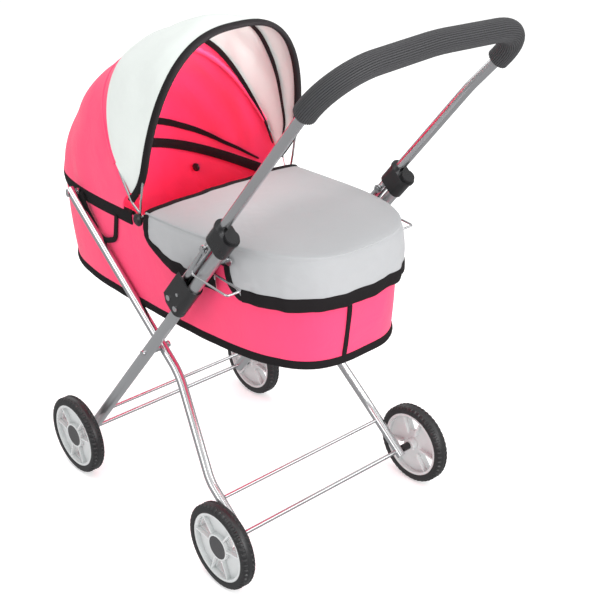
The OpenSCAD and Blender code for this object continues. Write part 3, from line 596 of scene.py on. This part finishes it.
def apron_z(x, y):
    across = min(1.0, abs(x) / APRON_A)
    along = max(0.0, (y - 0.02) / (COT_Y + APRON_B - 0.02))
    inside = max(0.0, 1 - across**3.4 - along**4)
    lift = 0.0110 * inside**0.55
    pull = 0.0060 * max(0.0, 1 - (y - APRON_Y) / 0.10) * max(0.0, math.cos(across * math.pi / 2)) ** 0.5
    return SEAM_Z + lift - pull + ripple((x, y, 0), 0.07, 0.0022, 5) * inside**0.4


def skirt_low(y):
    low = RIM_Z - 0.050
    if y < 0.03:
        low = RIM_Z - 0.046 + 0.036 * (1 - math.sqrt(max(0, 1 - ((0.03 - y) / 0.0805) ** 2)))
    return low


SKIRT_ROWS = 14
apron_rows = []
for s in (0.0, 0.12, 0.25, 0.4, 0.55, 0.7, 0.82, 0.9, 0.95, 0.98, 0.999):
    row = []
    for p in outline:
        x, y = p.x * s, APRON_Y + (p.y - APRON_Y) * s
        row.append(Vector((x, y, apron_z(x, y))))
    apron_rows.append(row)


def skirt_point(p, f, out=0.0):
    # f runs from 0 at the seam to 1 at the lower edge
    low = skirt_low(p.y) + ripple((p.x, p.y, 0), 0.045, 0.0032, 21) + ripple((p.x, p.y, 0), 0.016, 0.0012, 27)
    z = SEAM_Z + (low - SEAM_Z) * f
    toward = Vector((p.x, (p.y - COT_Y) * 0.4, 0)).normalized()
    fold = ripple((p.x * 1.6, p.y * 1.6, z * 0.30), 0.026, 0.0034, 13) * f
    fold *= 1 + 1.5 * max(0.0, 1 - (p.y - APRON_Y) / 0.13)
    fold += ripple((p.x + z * 0.9, p.y + z * 0.9, z), 0.014, 0.0014, 17) * min(1, f * 3)
    swell = 0.0024 * math.sin(min(1, f) * math.pi) + out + fold
    return Vector((p.x, p.y, z)) + toward * swell


for k in range(SKIRT_ROWS + 1):
    groove = -0.0034 if k == 0 else 0.0
    apron_rows.append([skirt_point(p, k / SKIRT_ROWS, groove) for p in outline])
TOP_ROWS = len(apron_rows) - SKIRT_ROWS - 1


def in_slot(i, f):
    y = (outline[i].y + outline[i + 1].y) / 2
    return SLOT_HEAD < y < slot_foot(f) + 0.003


apron = cloth(
    "apron_cloth",
    apron_rows,
    0.0016,
    grey_nylon,
    skip=lambda j, i: j >= TOP_ROWS + 2 and in_slot(i, (j + 0.5 - TOP_ROWS) / SKIRT_ROWS),
)
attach(apron, "cot_foot")
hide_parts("apron")
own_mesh(apron)

SKIRT_FOLD = [(0.76, 0.0), (0.77, 0.0012), (0.86, 0.0014), (0.94, 0.0014), (1.0, 0.0012), (1.02, -0.0004)]
low_rows = [[skirt_point(p, f, out) for p in outline] for f, out in SKIRT_FOLD]
skirt_tape = tape("apron_skirt_tape", low_rows, "cot_foot", 0.0024, skip=lambda j, i: in_slot(i, 1.0))
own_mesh(skirt_tape)
# Along the edge that faces the hood, and down the skirt's two corners
edge_rows = []
for d, lift in ((-0.0022, -0.0022), (-0.0016, 0.0006), (0.0020, 0.0016), (0.0065, 0.0014), (0.0085, 0.0002)):
    row = []
    for i in range(61):
        x = 0.985 * APRON_A * (2 * i / 60 - 1)
        y = APRON_Y + d + ripple((x, 0, 0), 0.03, 0.003, 2)
        row.append(Vector((x, y, apron_z(x, APRON_Y + max(0, d)) + lift)))
    edge_rows.append(row)
edge_tape = tape("apron_edge_tape", edge_rows, "cot_foot", 0.0018)
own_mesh(edge_tape)
SKIRT_MARKS = [0.0, 0.1, 0.2, 0.3, 0.4, 0.5, 0.6, 0.7, 0.8, 0.9, 1.0]
for side, hand in ((1, "left"), (-1, "right")):
    row = outline if side > 0 else outline[::-1]
    corner = [[skirt_point(row[k], f, 0.0010) for f in SKIRT_MARKS] for k in range(0, 3)]
    strips = [("apron_corner_tape", corner)]
    foot_edge = []
    for d in (-0.0015, 0.0030, 0.0075):
        marks = [(f, on_outline(side, slot_foot(f) + d)) for f in SKIRT_MARKS[1:]]
        foot_edge.append([skirt_point(p, f, 0.0012) for f, p in marks])
    strips.append(("apron_slot_tape_foot", foot_edge))
    head_edge = []
    for d in (-0.0065, -0.0030, 0.0010):
        p = on_outline(side, SLOT_HEAD + d)
        head_edge.append([skirt_point(p, f, 0.0012) for f in SKIRT_MARKS[1:]])
    strips.append(("apron_slot_tape_head", head_edge))
    for name, rows in strips:
        strip = tape(f"{name}_{hand}", rows, "cot_foot", 0.0024)
        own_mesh(strip)

# ---- Hood ----
# Two panels of nylon over two wire bows: very pale grey in front and pink behind, sewn together at the
# middle bow. The wires run in sleeves, and their lowest parts are bare.
HOOD_N = 2.7
FRONT, MIDDLE, REAR = 76.0, 127.0, 180.0
WIRE_HALF, FRONT_REACH, MIDDLE_REACH = 0.1295, 0.248, 0.222
BARE_FROM, BARE_TO = 0.040, 0.085
TIP_FROM, TIP_BACK = 0.072, 0.026
SEAM_AHEAD = 10


def hood_reach(slope):
    if slope <= MIDDLE:
        f = (slope - FRONT) / (MIDDLE - FRONT)
        return 0.2502 + (0.2242 - 0.2502) * f - 0.0040 * math.sin(math.pi * f)
    f = (slope - MIDDLE) / (REAR - MIDDLE)
    return 0.2242 + (0.2880 - 0.2242) * f**1.15 - 0.003 * math.sin(math.pi * f)


def hood_half(slope):
    return 0.1317 if slope <= MIDDLE else 0.1317 - 0.0087 * ((slope - MIDDLE) / (REAR - MIDDLE)) ** 1.5


def hood_point(slope, w, out=0.0):
    # The plan grows squarer toward the rim, and the lowest tips are tied back to the rim behind the knobs
    near_seam = (slope - FRONT) / (MIDDLE - FRONT) if slope < MIDDLE else (REAR - slope) / (REAR - MIDDLE)
    slope -= SEAM_AHEAD * max(0.0, near_seam) * abs(math.sin(w)) ** 1.5
    behind = max(0.0, (slope - MIDDLE) / (REAR - MIDDLE))
    n = HOOD_N + (COT_N - HOOD_N) * behind
    h = hood_reach(slope) + out
    r = h * abs(math.sin(w)) ** (2 / n)
    bare = max(0.0, min(1.0, (r - BARE_FROM) / (BARE_TO - BARE_FROM)))
    bare = bare * bare * (3 - 2 * bare)
    wide = hood_half(slope)
    wide -= (wide - 0.1258) * (1 - bare) * (1 - behind) ** 0.5
    x = (wide + out) * power(math.cos(w), 2 / n)
    s = math.radians(slope)
    ahead = max(0.0, min(1.0, (MIDDLE - slope) / (MIDDLE - FRONT)))
    tied = TIP_BACK * ahead * max(0.0, (TIP_FROM - r) / (TIP_FROM - 0.020)) ** 1.5
    return Vector((x, KNOB_Y + r * math.cos(s) - tied, KNOB_Z + r * math.sin(s)))


def hood_line(slope, low, count, out=0.0):
    low = math.radians(low)
    return even([hood_point(slope, low + (math.pi - 2 * low) * i / 500, out) for i in range(501)], count)


def pucker(row, height, seed, size=0.05):
    out = []
    for i, p in enumerate(row):
        fade = max(0.0, math.sin(math.pi * i / (len(row) - 1))) ** 0.3
        toward = Vector((p.x, p.y - KNOB_Y, p.z - KNOB_Z)).normalized()
        out.append(p + toward * ripple((p.x, p.y * 1.2, p.z), size, height, seed) * fade)
    return out


HOOD_STEPS = 84
PALE_PUCKER, PINK_PUCKER = (0.005, 31), (0.005, 47)


def hood_rows(slopes, lows, pucker_as):
    rows = []
    for j, (slope, low) in enumerate(zip(slopes, lows)):
        ease = min(1.0, abs(slope - MIDDLE) / 8, abs(slope - FRONT) / 8, abs(slope - REAR) / 8)
        line = hood_line(slope, low, HOOD_STEPS)
        rows.append(pucker(line, pucker_as[0] * ease, pucker_as[1]))
    return rows


ROWS = 16
pale_slopes = [FRONT + (MIDDLE - FRONT) * j / ROWS for j in range(ROWS + 1)]
pale_rows = hood_rows(pale_slopes, [2.3 + 2.7 * j / ROWS for j in range(ROWS + 1)], PALE_PUCKER)
pale = cloth("hood_cloth_front", pale_rows, 0.0012, pale_nylon)
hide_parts("hood_front_panel")
pink_slopes = [MIDDLE + (REAR - MIDDLE) * j / ROWS for j in range(ROWS + 1)]
pink_rows = hood_rows(pink_slopes, [5.0 - 2.3 * j / ROWS for j in range(ROWS + 1)], PINK_PUCKER)
rear = cloth("hood_cloth_rear", pink_rows, 0.0012, pink_nylon)
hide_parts("hood_rear_panel")


# Sleeves round the two wires: black tape at the front edge, and pink cloth at the middle
def sleeve(name, slope, reach, low, wide, deep, paint, inward=0.0, tied=False):
    s = math.radians(slope)
    n = Vector((0, -math.sin(s), math.cos(s)))
    low = math.radians(low)
    fine = []
    for i in range(501):
        w = low + (math.pi - 2 * low) * i / 500
        r = reach * abs(math.sin(w)) ** (2 / HOOD_N)
        back_by = TIP_BACK * max(0.0, (TIP_FROM - r) / (TIP_FROM - 0.020)) ** 1.5 if tied else 0.0
        x = WIRE_HALF * power(math.cos(w), 2 / HOOD_N)
        x -= math.copysign(0.0030, x) * min(1.0, back_by / 0.010)
        fine.append(Vector((x, KNOB_Y + r * math.cos(s) - back_by, KNOB_Z + r * math.sin(s))))
    line = even(fine, HOOD_STEPS + 1)
    rows = []
    for k in range(13):
        q = 2 * math.pi * k / 12
        row = []
        for i, p in enumerate(line):
            along = (line[min(i + 1, HOOD_STEPS)] - line[max(i - 1, 0)]).normalized()
            outward = along.cross(n)
            if outward.dot(Vector((p.x, p.y - KNOB_Y, p.z - KNOB_Z))) < 0:
                outward = -outward
            row.append(p + n * wide * math.cos(q) + outward * (deep * math.sin(q) - inward))
        rows.append(row)
    return cloth(name, rows, 0.0007, paint)


front_edge = sleeve("hood_edge_tape", FRONT, FRONT_REACH, 2.0, 0.0062, 0.0036, black_tape, tied=True)
middle_sleeve = sleeve(
    "hood_middle_sleeve", MIDDLE, MIDDLE_REACH, 14.7, 0.0042, 0.0030, pink_nylon, inward=-0.0010
)


# Flat tapes inside: half way up the front panel, on the seam between the panels, and above the rim at the
# back
def hood_band(name, slopes, low, out, thickness, pucker_as):
    rows = [pucker(hood_line(s, low, HOOD_STEPS, out), *pucker_as) for s in slopes]
    band = cloth(name, rows, thickness, black_tape)
    return band


half_band = hood_band("hood_inner_tape", (92.0, 93.5, 95.0), 8, -0.0034, 0.0010, PALE_PUCKER)
seam_band = hood_band("hood_seam_tape", (125.4, 127.0, 128.6), 7, -0.0034, 0.0012, (0.0, 0))
hem_band = hood_band("hood_hem_tape", (172.4, 173.6, 174.8), 5, -0.0034, 0.0010, PINK_PUCKER)


for piece in (pale, half_band):
    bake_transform(piece)
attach(front_edge, "hood_front")
for piece in (middle_sleeve, seam_band):
    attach(piece, "hood_middle")
for piece in (rear, hem_band):
    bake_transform(piece)

# ---- Straps ----
# Black webbing that hangs from the rim beside each rear leg. A narrower length turns back up to the rim.
def strap_line(side, points, width):
    rows = []
    for k, (y, z) in enumerate(points):
        a = Vector(points[max(0, k - 1)])
        b = Vector(points[min(len(points) - 1, k + 1)])
        along = (b - a).normalized()
        across = Vector((-along.y, along.x))
        x = 0.1238 - 0.0012 * max(0.0, (RIM_Z - z) / 0.05)
        steps = [across * width * f for f in (-0.5, 0, 0.5)]
        rows.append([Vector((side * x, y + step.x, z + step.y)) for step in steps])
    return rows


def rounded_line(points, count):
    # A smooth run through the points
    line = bent([(0, *p) for p in points], [0.012] * (len(points) - 2), 6)
    return [(p.y, p.z) for p in even(line, count)]


for side, hand in ((1, "left"), (-1, "right")):
    down = strap_line(side, rounded_line([(-0.218, 0.436), (-0.204, 0.412), (-0.184, 0.388)], 14), 0.013)
    loop = [(-0.186, 0.389), (-0.166, 0.379), (-0.138, 0.388), (-0.128, 0.428)]
    upward = strap_line(side, rounded_line(loop, 18), 0.0075)
    strap = tape(f"strap_webbing_{hand}", down, "cot_head", 0.0014)
    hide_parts(f"strap_{hand}")
    strap_return = tape(f"strap_return_{hand}", upward, "cot_head", 0.0014)
    for piece in (strap, strap_return):
        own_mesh(piece)
